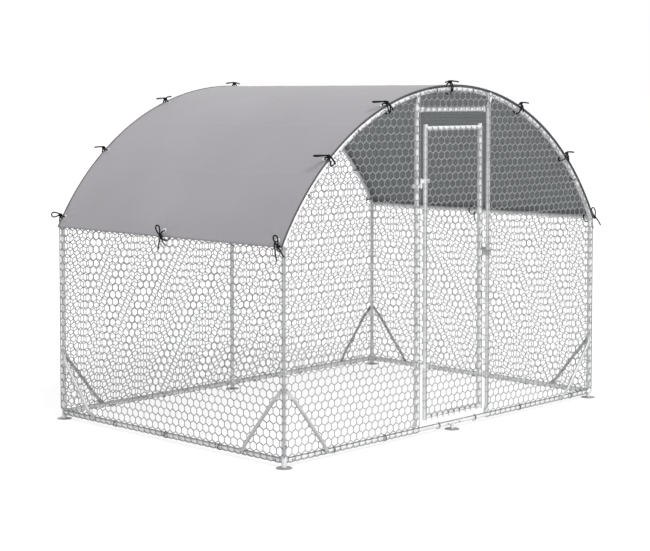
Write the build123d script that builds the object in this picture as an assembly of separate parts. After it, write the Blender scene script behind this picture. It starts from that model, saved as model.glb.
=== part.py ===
"""Walk-in poultry run: an arched house of round galvanised tube, hexagonal wire
netting on every side, a fabric rain cover tied over the arched roof and one
netted door in the front gable.

Millimetres.  X runs along the gable, +Y from the door to the back, +Z up.
The origin is on the ground in the middle of the footprint.
"""

import os
from math import asin, cos, degrees, pi, radians, sin, sqrt, tan

from build123d import *

# ---------------------------------------------------------------- dimensions
GABLE = 2770.0          # between the corner posts' centres, along X
DEPTH = 1890.0          # between the gables' tube centres, along Y
TUBE = 25.0             # outside diameter of every frame tube
WALL = 0.8              # tube wall
SPIGOT = 23.0           # plug that goes into a tube
SPIGOT_WALL = 2.0
SPIGOT_LEN = 75.0       # from the joint's centre to the plug's end
RAIL_Z = 41.0           # bottom rail's centre over the ground
ARCH_R = 1580.0         # roof arch, radius of the tube's centre line
ARCH_ZC = 411.0         # height of the arch's centre
FOOT_D = 88.0           # round foot plate
FOOT_T = 3.0
SLEEVE_D = 29.0         # corner foot's socket round the post
SLEEVE_Z = 160.0        # the socket's upper end
BRACE_D = 20.0
BRACE_POST_Z = 415.0    # brace's screw on a corner post
BRACE_RAIL_X = 312.0    # brace's screw on a rail, from the corner
BRACE_OUT = 28.0        # brace's axis outside a wall's centre plane, past the netting
BLADE_OUT = 19.05       # middle of a brace's flattened ends outside that plane
DOOR_POST_X = 326.5
HEADER_Z = 1873.0
STILE_L = -249.0        # door stile on the hinge side
STILE_R = 246.0         # door stile on the latch side
DOOR_TOP_Z = 1766.0     # door's upper rail
DOOR_BOT_Z = 111.0      # door's lower rail
STILE_Z = (90.0, 1789.0)
PIN_X = -287.8          # hinge pins' axis
PIN_D = 8.0
PIN_CLEAR = 0.05        # radial running clearance
HINGE_Z = ((1440.0, 1465.0), (378.0, 403.0))   # post band, door band
BAND_H = 23.0
LATCH_Z = 1044.0        # latch pivot
LATCH_X = 288.5
NET_IN = 15.5           # netting's inner face from the tube's centre plane
NET_T = 2.0
ROOF_NET = (1594.0, 1596.0)
COVER = (1601.5, 1603.0)
COVER_END = 62.0        # degrees from the ridge to the hem
COVER_Y = (-959.5, 957.0)   # over the edge bindings
BINDING = 8.0           # rolled binding along the cover's front and rear edges
CORD = 8.0              # tie cord

HX, HY = GABLE / 2, DEPTH / 2
R = TUBE / 2
RI = R - WALL
SR = SPIGOT / 2
SRI = SR - SPIGOT_WALL
GAP = 0.1
EAVE = degrees(asin(HX / ARCH_R))              # arch angle at the corner posts
EAVE_Z = ARCH_ZC + ARCH_R * cos(radians(EAVE))

os.makedirs("parts", exist_ok=True)
written = []


def save(name, *shapes):
    """One node: its solids are written together."""
    solids = []
    for s in shapes:
        solids.extend(s.solids())
    export_step(solids[0] if len(solids) == 1 else Compound(children=solids), f"parts/{name}.step")
    written.append(name)


# ---------------------------------------------------------------- small tools
def vec(p):
    return Vector(*p)


def frame_at(p, z, x=None):
    return Plane(origin=vec(p), z_dir=vec(z)) if x is None else Plane(origin=vec(p), x_dir=vec(x), z_dir=vec(z))


def rod(p, q, d):
    v = vec(q) - vec(p)
    return extrude(Plane(origin=vec(p), z_dir=v) * Circle(d / 2), v.length)


def tube(p, q, d=TUBE, wall=WALL):
    v = vec(q) - vec(p)
    pl = Plane(origin=vec(p), z_dir=v)
    return extrude(pl * (Circle(d / 2) - Circle(d / 2 - wall)), v.length)


def block(lo, hi):
    size = [h - l for l, h in zip(lo, hi)]
    mid = [(l + h) / 2 for l, h in zip(lo, hi)]
    return Pos(*mid) * Box(*size)


def arch_point(deg, r, y):
    return (r * sin(radians(deg)), y, ARCH_ZC + r * cos(radians(deg)))


def arch_piece(y, a0, a1, ro, ri=0.0):
    """Part of a round tube bent to the roof's arch, from a0 to a1 degrees."""
    n = (sin(radians(a0)), 0, cos(radians(a0)))
    t = (cos(radians(a0)), 0, -sin(radians(a0)))
    pl = Plane(origin=vec(arch_point(a0, ARCH_R, y)), x_dir=vec(n), z_dir=vec(t))
    face = Circle(ro) - Circle(ri) if ri else Circle(ro)
    axis = Axis((0, y, ARCH_ZC), (0, 1, 0))
    return revolve(pl * face, axis=axis, revolution_arc=a1 - a0)


def flat_end(p, z, side, d, shift, taper, tab, half_w=None):
    """A tube's end pressed flat: a taper from the round to a thin blade, moved
    sideways by shift, then the blade with a rounded tip.  z points out of the
    tube and side is the direction across the blade's flat."""
    pl = Plane(origin=vec(p), x_dir=vec(side), z_dir=vec(z))
    half_w, half_t = half_w or d * 0.72, 1.3
    s0 = pl * Circle(d / 2)
    s1 = pl * Pos(0, 0, taper) * Pos(shift, 0) * Ellipse(half_t, half_w)
    body = loft([s0.faces()[0], s1.faces()[0]], ruled=True)
    blade = extrude(pl * Pos(0, 0, taper) * Pos(shift, 0) * Ellipse(half_t, half_w), tab)
    # round the blade's tip
    tip = Plane(origin=pl.from_local_coords(Vector(shift - 10, 0, taper + tab - half_w)), x_dir=pl.y_dir, z_dir=pl.x_dir)
    keep = extrude(tip * Circle(half_w), 20) + extrude(
        tip * Pos(0, -pl_sign(tip, pl) * (tab + taper) / 2) * Rectangle(2 * half_w, tab + taper), 20
    )
    blade = blade & keep
    return body + blade


def pl_sign(tip, pl):
    """Whether the tip plane's y runs along the blade (1) or against it (-1)."""
    return 1 if tip.y_dir.dot(pl.z_dir) > 0 else -1


def bolt(p, z, grip, d=6.0, head_d=10.0, head_h=4.0, nut=True):
    """A pan-head bolt: head under p, shank through grip along z, nut beyond it."""
    pl = Plane(origin=vec(p), z_dir=vec(z))
    b = extrude(pl * Pos(0, 0, -head_h) * Circle(head_d / 2), head_h)
    b = fillet(b.faces().sort_by(Axis(vec(p), vec(z)))[0].edges(), head_h * 0.45)
    b += extrude(pl * Circle(d / 2), grip + (6.0 if nut else 0.0))
    if nut:
        b += extrude(pl * Pos(0, 0, grip) * RegularPolygon(5.6, 6), 4.6)
    return b


# ---------------------------------------------------------------- base: feet and rails
def foot_plate(x, y):
    plate = Pos(x, y, FOOT_T / 2) * Cylinder(FOOT_D / 2, FOOT_T)
    return fillet(plate.faces().sort_by(Axis.Z)[-1].edges(), 1.2)


def plug(p, d, start, end, hollow_from):
    """A round plug from start to end along direction d, bored from its far end."""
    a = vec(p) + vec(d) * start
    b = vec(p) + vec(d) * end
    h = vec(p) + vec(d) * hollow_from
    return rod(tuple(a), tuple(b), SPIGOT), rod(tuple(h), tuple(b), 2 * SRI)


POST_Z0 = 80.0          # corner post's lower end, on the foot's shoulder
STUB = 20.0             # a connector's own tube, from the joint's centre
corners = {
    "front_left": (-1, -1),
    "front_right": (1, -1),
    "rear_left": (-1, 1),
    "rear_right": (1, 1),
}
frame_bolts = []
cut_for = {}


def bolt_hole(nodes, p, d, half=20.0, dia=6.4):
    """Remember a cross hole to be drilled through the named nodes."""
    a = vec(p) - vec(d) * half
    b = vec(p) + vec(d) * half
    for n in nodes:
        cut_for.setdefault(n, []).append(rod(tuple(a), tuple(b), dia))


def joint_bolt(nodes, p, d):
    """A bolt through a tube and the plug inside it, head outside along -d."""
    bolt_hole(nodes, p, d)
    head = vec(p) - vec(d) * (R + 0.05)
    # the head's underside rests on the crown of the tube, on a small washer
    frame_bolts.append(bolt(tuple(head), d, TUBE + 0.1, d=6.0, head_d=9.0, head_h=2.6))


parts = {}
# a corner foot: plate, a socket that the post stands in, a stub and a plug for each rail
x, y = -HX, -HY
foot = foot_plate(x, y)
foot += rod((x, y, FOOT_T - 0.5), (x, y, SLEEVE_Z), SLEEVE_D)
bores = [
    rod((x, y, POST_Z0), (x, y, SLEEVE_Z + 5), TUBE + 0.2),
    rod((x, y, RAIL_Z + SR + 8), (x, y, POST_Z0 + 1), 2 * RI),
]
for d in ((1, 0, 0), (0, 1, 0)):
    foot += rod((x, y, RAIL_Z), tuple(vec((x, y, RAIL_Z)) + vec(d) * STUB), TUBE - 0.2)
    p, b = plug((x, y, RAIL_Z), d, 0, SPIGOT_LEN, 22)
    foot += p
    bores.append(b)
for b in bores:
    foot -= b
foot -= rod((x, y, FOOT_T), (x, y, RAIL_Z - SR - 2), 2 * SRI)
across = foot.mirror(Plane.YZ)
parts["corner_foot_front_left"] = foot
parts["corner_foot_front_right"] = across
parts["corner_foot_rear_left"] = foot.mirror(Plane.XZ)
parts["corner_foot_rear_right"] = across.mirror(Plane.XZ)
for name, sy in (("front", -1), ("rear", 1)):
    y = sy * HY
    foot = foot_plate(0, y)
    foot += rod((0, y, FOOT_T - 0.5), (0, y, RAIL_Z), TUBE)
    foot += rod((-STUB, y, RAIL_Z), (STUB, y, RAIL_Z), TUBE)
    bores = []
    for d in ((-1, 0, 0), (1, 0, 0)):
        p, b = plug((0, y, RAIL_Z), d, 0, SPIGOT_LEN, 15)
        foot += p
        bores.append(b)
    if name == "rear":
        p, b = plug((0, y, RAIL_Z), (0, 0, 1), 0, SPIGOT_LEN + 20, 18)
        foot += p
        bores.append(b)
    for b in bores:
        foot -= b
    foot -= rod((0, y, FOOT_T), (0, y, RAIL_Z - R - 1), 2 * SRI)
    parts[f"mid_foot_{name}"] = foot

for gable, sy in (("front", -1), ("rear", 1)):
    for side, sx in (("left", -1), ("right", 1)):
        y = sy * HY
        parts[f"{gable}_rail_{side}"] = tube((sx * (STUB + GAP), y, RAIL_Z), (sx * (HX - STUB - GAP), y, RAIL_Z))
        joint_bolt([f"{gable}_rail_{side}", f"mid_foot_{gable}"], (sx * 52, y, RAIL_Z), (0, -sy, 0))
        joint_bolt([f"{gable}_rail_{side}", f"corner_foot_{gable}_{side}"], (sx * (HX - 52), y, RAIL_Z), (0, -sy, 0))
for side, sx in (("left", -1), ("right", 1)):
    x = sx * HX
    parts[f"side_rail_{side}"] = tube((x, -HY + STUB + GAP, RAIL_Z), (x, HY - STUB - GAP, RAIL_Z))
    for sy in (-1, 1):
        g = "front" if sy < 0 else "rear"
        joint_bolt([f"side_rail_{side}", f"corner_foot_{g}_{side}"], (x, sy * (HY - 52), RAIL_Z), (-sx, 0, 0))

# ---------------------------------------------------------------- eave elbows, posts, arches, purlins
COLLAR = 18.0                                   # elbow's own tube on each side
collar_deg = degrees(COLLAR / ARCH_R)
plug_deg = degrees(SPIGOT_LEN / ARCH_R)
elbows = []
for name, (sx, sy) in corners.items():
    x, y = sx * HX, sy * HY
    a = sx * EAVE
    e = Pos(x, y, EAVE_Z) * Sphere(R)
    e += rod((x, y, EAVE_Z - COLLAR), (x, y, EAVE_Z), TUBE)
    e += rod((x, y, EAVE_Z - SPIGOT_LEN), (x, y, EAVE_Z), SPIGOT)
    e += arch_piece(y, a, a - sx * collar_deg, R)
    e += arch_piece(y, a, a - sx * plug_deg, SR)
    p, b = plug((x, y, EAVE_Z), (0, -sy, 0), 0, SPIGOT_LEN, 18)
    e += p
    e -= b
    e -= rod((x, y, EAVE_Z - SPIGOT_LEN), (x, y, EAVE_Z - 20), 2 * SRI)
    e -= arch_piece(y, a - sx * plug_deg * 1.001, a - sx * degrees(20 / ARCH_R), SRI)
    elbows.append(e)
    parts[f"corner_post_{name}"] = tube((x, y, POST_Z0 + GAP), (x, y, EAVE_Z - COLLAR - GAP))

tees = []
for sy in (-1, 1):
    y = sy * HY
    t = arch_piece(y, -degrees(20 / ARCH_R), degrees(20 / ARCH_R), R)
    t += arch_piece(y, -plug_deg, plug_deg, SR)
    p, b = plug((0, y, ARCH_ZC + ARCH_R), (0, -sy, 0), 0, SPIGOT_LEN, 18)
    t += p
    t -= b
    for s in (-1, 1):
        t -= arch_piece(y, s * degrees(18 / ARCH_R), s * plug_deg * 1.001, SRI)
    tees.append(t)

for gable, sy in (("front", -1), ("rear", 1)):
    for side, sx in (("left", -1), ("right", 1)):
        a0 = sx * (EAVE - collar_deg - degrees(GAP / ARCH_R))
        a1 = sx * degrees((20 + GAP) / ARCH_R)
        parts[f"{gable}_arch_{side}"] = arch_piece(sy * HY, a0, a1, R, RI)

for side, sx in (("left", -1), ("right", 1)):
    x = sx * HX
    parts[f"eave_purlin_{side}"] = tube((x, -HY + R + 0.3, EAVE_Z), (x, HY - R - 0.3, EAVE_Z))
parts["ridge_purlin"] = tube((0, -HY + R + 0.3, ARCH_ZC + ARCH_R), (0, HY - R - 0.3, ARCH_ZC + ARCH_R))


# ---------------------------------------------------------------- door posts, header, rear post
cs_bolts = []


def countersunk(p, z, length, d=6.0):
    """A flush-headed screw: its flat head at p, running along z."""
    pl = Plane(origin=vec(p), z_dir=vec(z))
    head = extrude(pl * Circle(5.6), 2.2, taper=45)
    return head + extrude(pl * Circle(d / 2), length)


def lap_screw(p, z, length, nodes):
    """A flush screw with its seat and clearance hole drilled in the named nodes."""
    cs_bolts.append(countersunk(p, z, length))
    pl = Plane(origin=vec(p), z_dir=vec(z))
    seat = extrude(pl * Pos(0, 0, -0.6) * Circle(6.4), 2.9, taper=45)
    hole = extrude(pl * Pos(0, 0, -0.6) * Circle(3.2), length + 1.2)
    for n in nodes:
        cut_for.setdefault(n, []).extend([seat, hole])


for name, (sx, sy) in corners.items():
    lap_screw((sx * HX, sy * (HY + SLEEVE_D / 2), 118), (0, -sy, 0), 8, [f"corner_foot_{name}", f"corner_post_{name}"])

arch_at_post = ARCH_ZC + sqrt(ARCH_R**2 - DOOR_POST_X**2)
for side, sx in (("left", -1), ("right", 1)):
    x, y = sx * DOOR_POST_X, -HY
    post = tube((x, y, 110), (x, y, 1890))
    # the top is flattened and lapped over the outside of the arch tube
    post += flat_end((x, y, 1890), (0, 0, 1), (0, -1, 0), TUBE, R + 1.45, 44, 36)
    post += flat_end((x, y, 110), (0, 0, -1), (0, 1, 0), TUBE, R + 1.45, 44, 36)
    parts[f"door_post_{side}"] = post
    lap_screw((x, y - R - 2.75, arch_at_post - 6), (0, 1, 0), 16, [f"door_post_{side}", f"front_arch_{side}"])
    lap_screw((x, y + R + 2.75, RAIL_Z + 2), (0, -1, 0), 16, [f"door_post_{side}", f"front_rail_{side}"])
post = tube((0, HY, RAIL_Z), (0, HY, ARCH_ZC + ARCH_R - 95))
post -= rod((-40, HY, RAIL_Z), (40, HY, RAIL_Z), TUBE + 2 * GAP)
post = post.solids().sort_by(SortBy.VOLUME)[-1]
top_z = ARCH_ZC + ARCH_R - 95
post += flat_end((0, HY, top_z), (0, 0, 1), (0, 1, 0), TUBE, R + 1.45, 44, 50)
parts["rear_mid_post"] = post
lap_screw((0, HY + R + 2.75, ARCH_ZC + ARCH_R - 8), (0, -1, 0), 15, ["rear_mid_post", "ridge_tees"])

# header: both ends flattened and lapped on the inside of the door posts
hx = DOOR_POST_X - 62
header = tube((-hx, -HY, HEADER_Z), (hx, -HY, HEADER_Z))
for sx in (-1, 1):
    header += flat_end((sx * hx, -HY, HEADER_Z), (sx, 0, 0), (0, 1, 0), TUBE, R + 1.45, 40, 38)
    side = "left" if sx < 0 else "right"
    lap_screw((sx * DOOR_POST_X, -HY + R + 2.75, HEADER_Z), (0, -1, 0), 16, ["door_header", f"door_post_{side}"])
parts["door_header"] = header

# ---------------------------------------------------------------- corner braces
def brace(post_xy, rail_dir, out):
    """One corner brace outside a wall's netting, from the post down to the rail.
    Both ends are pressed flat, set inwards and lapped over the netting and the
    tubes.  out points out of the coop."""
    x, y = post_xy
    d, n = vec(rail_dir), vec(out)
    a = Vector(x, y, BRACE_POST_Z)
    b = Vector(x, y, RAIL_Z) + d * BRACE_RAIL_X
    v = (b - a).normalized()
    taper, past, lap_a, lap_b, half_w = 40.0, 10.0, 34.0, 28.0, 11.5
    a_end, b_end = a + n * BRACE_OUT + v * (lap_a + taper), b + n * BRACE_OUT - v * (lap_b + taper)
    t = tube(tuple(a_end), tuple(b_end), BRACE_D)
    t += flat_end(tuple(a_end), tuple(-v), out, BRACE_D, BLADE_OUT - BRACE_OUT, taper, lap_a + past, half_w)
    t += flat_end(tuple(b_end), tuple(v), out, BRACE_D, BLADE_OUT - BRACE_OUT, taper, lap_b + past, half_w)
    for p in (a, b):
        pl = Plane(origin=p + n * (BLADE_OUT + 1.3), z_dir=-n)
        t -= extrude(pl * Pos(0, 0, -0.6) * Circle(6.4), 2.9, taper=45)
        t -= extrude(pl * Pos(0, 0, -0.6) * Circle(3.2), 12)
    return t


pair = [brace((-HX, -HY), (1, 0, 0), (0, -1, 0)), brace((-HX, -HY), (0, 1, 0), (-1, 0, 0))]
for name, (sx, sy) in corners.items():
    x, y = sx * HX, sy * HY
    gable = "front" if sy < 0 else "rear"
    side = "left" if sx < 0 else "right"
    both = pair if sx < 0 else [b.mirror(Plane.YZ) for b in pair]
    parts[f"corner_braces_{name}"] = both if sy < 0 else [b.mirror(Plane.XZ) for b in both]
    o = BLADE_OUT + 1.3
    post = f"corner_post_{name}"
    wall = "netting_rear" if sy > 0 else f"netting_front_{side}"
    flank = f"netting_side_{side}"
    lap_screw((x, y + sy * o, BRACE_POST_Z), (0, -sy, 0), 15, [post, wall])
    lap_screw((x - sx * BRACE_RAIL_X, y + sy * o, RAIL_Z), (0, -sy, 0), 15, [f"{gable}_rail_{side}", wall])
    lap_screw((x + sx * o, y, BRACE_POST_Z), (-sx, 0, 0), 15, [post, flank])
    lap_screw((x + sx * o, y - sy * BRACE_RAIL_X, RAIL_Z), (-sx, 0, 0), 15, [f"side_rail_{side}", flank])

# ---------------------------------------------------------------- door leaf
for side, x in (("hinge_side", STILE_L), ("latch_side", STILE_R)):
    s = tube((x, -HY, STILE_Z[0]), (x, -HY, STILE_Z[1]))
    s += rod((x, -HY, STILE_Z[0]), (x, -HY, STILE_Z[0] + 2), TUBE)
    s += rod((x, -HY, STILE_Z[1] - 2), (x, -HY, STILE_Z[1]), TUBE)
    parts[f"door_stile_{side}"] = s
for name, z in (("top", DOOR_TOP_Z), ("bottom", DOOR_BOT_Z)):
    r = tube((STILE_L, -HY, z), (STILE_R, -HY, z))
    for x in (STILE_L, STILE_R):
        r -= rod((x, -HY, z - 30), (x, -HY, z + 30), TUBE + 2 * GAP)
    parts[f"door_{name}_rail"] = r.solids().sort_by(SortBy.VOLUME)[-1]


# ---------------------------------------------------------------- hinges
def band(cx, z, eye_x, ear_x, bore):
    """A strap round a tube at cx with a bolted ear on one side and an eye on
    the hinge axis on the other."""
    y = -HY
    s = 1 if eye_x > cx else -1
    b = Pos(cx, y, z) * Cylinder(R + 2.4, BAND_H)
    b += block((min(cx, eye_x), y - 2.5, z - BAND_H / 2), (max(cx, eye_x), y + 2.5, z + BAND_H / 2))
    b += Pos(eye_x, y, z) * Cylinder(8.0, BAND_H)
    b += block((min(cx, ear_x), y - 2.5, z - BAND_H / 2), (max(cx, ear_x), y + 2.5, z + BAND_H / 2))
    tip = [e for e in b.edges().filter_by(Axis.Y) if abs(e.center().X - ear_x) < 0.01]
    b = fillet(tip, 6.0)
    b -= Pos(cx, y, z) * Cylinder(R + 0.1, BAND_H + 2)
    b -= Pos(eye_x, y, z) * Cylinder(bore, BAND_H + 2)
    # the strap's two ends meet in the ear with a saw cut between them
    b -= block((min(cx, ear_x) - (1 if s > 0 else 0), y - 0.3, z - BAND_H), (max(cx, ear_x) + (0 if s > 0 else 1), y + 0.3, z + BAND_H)) - Pos(cx, y, z) * Cylinder(R + 0.2, 4 * BAND_H)
    hole_x = ear_x + s * 11
    b -= rod((hole_x, y - 10, z), (hole_x, y + 10, z), 6.4)
    return b, hole_x


post_bands, door_bands, pins, post_bolts, door_bolts = [], [], [], [], []
for zp, zd in HINGE_Z:
    b, hx_ = band(-DOOR_POST_X, zp, PIN_X, -DOOR_POST_X - 36, PIN_D / 2 + PIN_CLEAR)
    post_bands.append(b)
    post_bolts.append(bolt((hx_, -HY - 2.55, zp), (0, 1, 0), 5.1, head_d=12, head_h=4.5))
    b, hx_ = band(STILE_L, zd, PIN_X, STILE_L + 36, PIN_D / 2 + PIN_CLEAR)
    door_bands.append(b)
    door_bolts.append(bolt((hx_, -HY - 2.55, zd), (0, 1, 0), 5.1, head_d=12, head_h=4.5))
    low, high = zp - BAND_H / 2, zd + BAND_H / 2
    pin = Pos(PIN_X, -HY, (low + high) / 2) * Cylinder(PIN_D / 2, high - low + 6)
    pin += rod((PIN_X, -HY, zp + BAND_H / 2 + 0.1), (PIN_X, -HY, zd - BAND_H / 2 - 0.1), 14)
    pin += rod((PIN_X, -HY, low - 4.5), (PIN_X, -HY, low - 0.1), 13)
    head = rod((PIN_X, -HY, high + 0.2), (PIN_X, -HY, high + 4.6), 13)
    pin += fillet(head.faces().sort_by(Axis.Z)[-1].edges(), 2.0)
    pins.append(pin)

# ---------------------------------------------------------------- latch on the other door post
lx, y = DOOR_POST_X, -HY
clamp = Pos(lx, y, 1015) * Cylinder(R + 2.4, 34)
clamp += block((lx, y - 2.5, 998), (lx + 34, y + 2.5, 1032))
tip = [e for e in clamp.edges().filter_by(Axis.Y) if abs(e.center().X - lx - 34) < 0.01]
clamp = fillet(tip, 8.0)
clamp += block((LATCH_X - 9, y - 2.5, 1002), (lx, y + 2.5, LATCH_Z - 8))
clamp += Pos(LATCH_X + 3, y, LATCH_Z - 6) * Box(24, 5, 12)
clamp += rod((LATCH_X, y - 7, LATCH_Z), (LATCH_X, y + 7, LATCH_Z), 20)
clamp -= Pos(lx, y, 1015) * Cylinder(R + 0.1, 80)
clamp -= rod((LATCH_X, y - 20, LATCH_Z), (LATCH_X, y + 20, LATCH_Z), PIN_D + 2 * PIN_CLEAR)
clamp -= block((lx + R + 0.5, y - 0.3, 980), (lx + 40, y + 0.3, 1040))
clamp -= rod((lx + 23, y - 10, 1015), (lx + 23, y + 10, 1015), 6.4)
clamp = clamp.solids().sort_by(SortBy.VOLUME)[-1]
post_bolts.append(bolt((lx + 23, y - 2.55, 1015), (0, 1, 0), 5.1, head_d=12, head_h=4.5))


def latch_arm(y0, y1):
    pl = Plane(origin=(LATCH_X, y0, LATCH_Z), x_dir=(1, 0, 0), z_dir=(0, 1, 0))
    f = Pos(19.5, 0) * Rectangle(39, 12) + Circle(8.0) + Pos(39, 0) * Circle(6.0)
    return extrude(pl * f, y1 - y0)


fork = rod((LATCH_X, y - 25.0, LATCH_Z), (LATCH_X, y + 25.0, LATCH_Z), PIN_D)
fork += latch_arm(y - 25.0, y - 20.5)
fork += latch_arm(y + 20.5, y + 25.0)
parts["latch_fork"] = fork
parts["latch_clamp"] = clamp


# ---------------------------------------------------------------- netting, as thin sheets
def gable_outline(x0, x1, z0, arch_r):
    """A wall outline between x0 and x1 with the arch as its top edge."""
    def top(x):
        return ARCH_ZC + sqrt(arch_r**2 - x * x)

    m = (x0 + x1) / 2
    line = Polyline(*[(px, pz) for px, pz in [(x0, top(x0)), (x0, z0), (x1, z0), (x1, top(x1))]])
    arc = ThreePointArc((x1, top(x1)), (m, top(m)), (x0, top(x0)))
    return make_face(Curve() + [line, arc])


def wall_sheet(face, y0, y1):
    """An XZ outline made into a sheet between y0 and y1."""
    pl = Plane(origin=(0, y1, 0), x_dir=(1, 0, 0), z_dir=(0, -1, 0))
    return extrude(pl * face, y1 - y0)


NY0, NY1 = -HY - NET_IN - NET_T, -HY - NET_IN
NET_R = ARCH_R + 10
NET_X = HX + 11
NET_Z = 30.0
parts["netting_front_left"] = wall_sheet(gable_outline(-NET_X, -DOOR_POST_X, NET_Z, NET_R), NY0, NY1)
parts["netting_front_right"] = wall_sheet(gable_outline(DOOR_POST_X, NET_X, NET_Z, NET_R), NY0, NY1)
parts["netting_front_top"] = wall_sheet(gable_outline(-DOOR_POST_X + 0.5, DOOR_POST_X - 0.5, HEADER_Z - R, NET_R), NY0, NY1)
parts["netting_rear"] = wall_sheet(gable_outline(-NET_X, NET_X, NET_Z, NET_R), -NY1, -NY0)
for side, sx in (("left", -1), ("right", 1)):
    xs = sorted((sx * (HX + NET_IN), sx * (HX + NET_IN + NET_T)))
    parts[f"netting_side_{side}"] = block((xs[0], -HY - 11, NET_Z), (xs[1], HY + 11, EAVE_Z - 8))
parts["door_netting"] = block((STILE_L - 12, NY0, DOOR_BOT_Z - 13), (STILE_R + 12, NY1, DOOR_TOP_Z + 13))


def vault(r0, r1, a, y0, y1):
    """A curved sheet over the arches between radii r0 and r1."""
    def pt(r, ang):
        return (r * sin(radians(ang)), ARCH_ZC + r * cos(radians(ang)))

    outer = ThreePointArc(pt(r1, -a), pt(r1, 0), pt(r1, a))
    inner = ThreePointArc(pt(r0, a), pt(r0, 0), pt(r0, -a))
    e1 = Line(pt(r1, a), pt(r0, a))
    e2 = Line(pt(r0, -a), pt(r1, -a))
    face = make_face(Curve() + [outer, e1, inner, e2])
    pl = Plane(origin=(0, y1, 0), x_dir=(1, 0, 0), z_dir=(0, -1, 0))
    return extrude(pl * face, y1 - y0)


parts["netting_roof"] = vault(*ROOF_NET, 61.2, -HY - 11, HY + 11)
cover = vault(*COVER, COVER_END, COVER_Y[0] + BINDING + 0.3, COVER_Y[1] - BINDING - 0.3)


def edge_binding(y):
    """A rolled strip along the cover's edge, from hem to hem."""
    r = (COVER[0] + COVER[1]) / 2
    a0 = radians(-COVER_END)
    start = arch_point(-COVER_END, r, y)
    pl = Plane(origin=vec(start), x_dir=(sin(a0), 0, cos(a0)), z_dir=(cos(a0), 0, -sin(a0)))
    return revolve(pl * Circle(BINDING / 2), axis=Axis((0, y, ARCH_ZC), (0, 1, 0)), revolution_arc=2 * COVER_END)


parts["cover_edge_binding"] = [edge_binding(COVER_Y[0] + BINDING / 2), edge_binding(COVER_Y[1] - BINDING / 2)]

# ---------------------------------------------------------------- cover ties
# A tie goes up the front of the edge, over it, down through an eyelet, round the
# tube and back up, then makes one bow loop and ends in a second tail.
# Local axes at a tie: n away from the roof, e from the tube towards the cover's
# edge, t along the tube.  over is how far the edge passes the tube's centre.
FRONT_OVER = -HY - COVER_Y[0]
REAR_OVER = COVER_Y[1] - HY
HEM_OVER = radians(COVER_END - EAVE) * COVER[1]


def tie_route(o, n, e, t, over, loop, wide, tail_a, tail_b, slide=0.0, drop=0.0):
    """Route points of one tie, from the tip of tail a to the tip of tail b.
    o is the tube's centre; loop, wide, tail_a and tail_b are world vectors from
    the knot: to the loop's end, half across the loop, and to the tails' tips.
    slide is how far the knot stands along t from the strands round the tube, and
    drop how far it hangs over the cover's edge."""
    def at(a, b, c, f=0.0):
        return tuple(o[i] + a * n[i] + b * e[i] + (c + f * slide) * t[i] for i in range(3))

    k = at(33.0, over - 9.0 + drop, 0.0, 1.0)
    ll = sqrt(sum(v * v for v in loop))
    ww = sqrt(sum(v * v for v in wide))

    def bow(f, w, dn):
        """A point f along the loop and w (in half widths) across it."""
        return tuple(k[i] + f * loop[i] + w * wide[i] + dn * n[i] for i in range(3))

    def tail(v, f, dn=0.0, de=0.0, dt=0.0, back=0.0):
        return tuple(k[i] + f * v[i] + dn * n[i] + de * e[i] + (dt - back * slide) * t[i] for i in range(3))

    turn = 1.0 - 0.74 * ww / ll
    return [
        tail(tail_a, 1.0, dt=-5),
        tail(tail_a, 0.82, de=2, dt=-8),
        tail(tail_a, 0.63, de=5, dt=-9, back=0.12),
        tail(tail_a, 0.42, de=8, dt=-9, back=0.34),
        at(29, over + 11, -8.5, 0.38),
        at(37.5, over, -7, 0.18),
        at(38, over - 14, -6.5, 0.05),
        at(32, 0.45 * (over - 16) - 10, -5),
        at(20.5, -18.5, -4),
        at(4, -26.5, -3),
        at(-13, -26, -1.5),
        at(-27, -12, 0),
        at(-29, 5, 1.5),
        at(-20.5, 0.5 * over + 14, 3),
        at(-5, 0.85 * over + 15.5, 4),
        at(12, over + 14, 6, 0.08),
        at(28, over + 11, 7.5, 0.25),
        at(40, over + 0.5, 6.5, 0.55),
        bow(0.14, 0.35, 10),
        bow(0.36, 0.80, 10),
        bow(0.62, 1.0, 8),
        bow(turn, 1.0, 6),
        bow(1.0, 0.45, 5),
        bow(1.0, -0.45, 5),
        bow(turn, -1.0, 6),
        bow(0.62, -1.0, 10),
        bow(0.36, -0.80, 12),
        bow(0.14, -0.35, 15),
        bow(-0.12, 0.15, 14),
        tail(tail_b, 0.34, dn=11, de=4, dt=3),
        tail(tail_b, 0.58, dn=7, de=6, dt=3),
        tail(tail_b, 0.80, dn=3, de=5, dt=2),
        tail(tail_b, 1.0),
    ]


def arch_tie(deg, gable, side, long_b=False, loop=(66.0, 3.0, 5.0), upright=False):
    """A tie round an arch: side is -1 or 1, the way its loop points along X, and
    loop is its reach that way, outwards and upwards.  An upright loop stands on edge."""
    e = (0, gable, 0)
    n = (sin(radians(deg)), 0, cos(radians(deg)))
    t = (-side * cos(radians(deg)), 0, side * sin(radians(deg)))
    o = arch_point(deg, ARCH_R, gable * HY)
    over = FRONT_OVER if gable < 0 else REAR_OVER
    loop = (side * loop[0], gable * loop[1], loop[2])
    flat = 14.0 / sqrt(loop[0] ** 2 + loop[1] ** 2)
    wide = (0.0, 2.0, 14.0) if upright else (gable * side * loop[1] * flat, -gable * side * loop[0] * flat, 2.0)
    tail_a = (side * -6.0, gable * 20.0, -46.0)
    rise = 54.0 * tan(radians(abs(deg)))
    tail_b = (side * -54.0, gable * 8.0, 4.0 + rise) if long_b else (side * -26.0, gable * 24.0, -36.0)
    return (o, n, e, t, over, loop, wide, tail_a, tail_b, 0.0, 8.0 if gable < 0 else 5.0)


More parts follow.
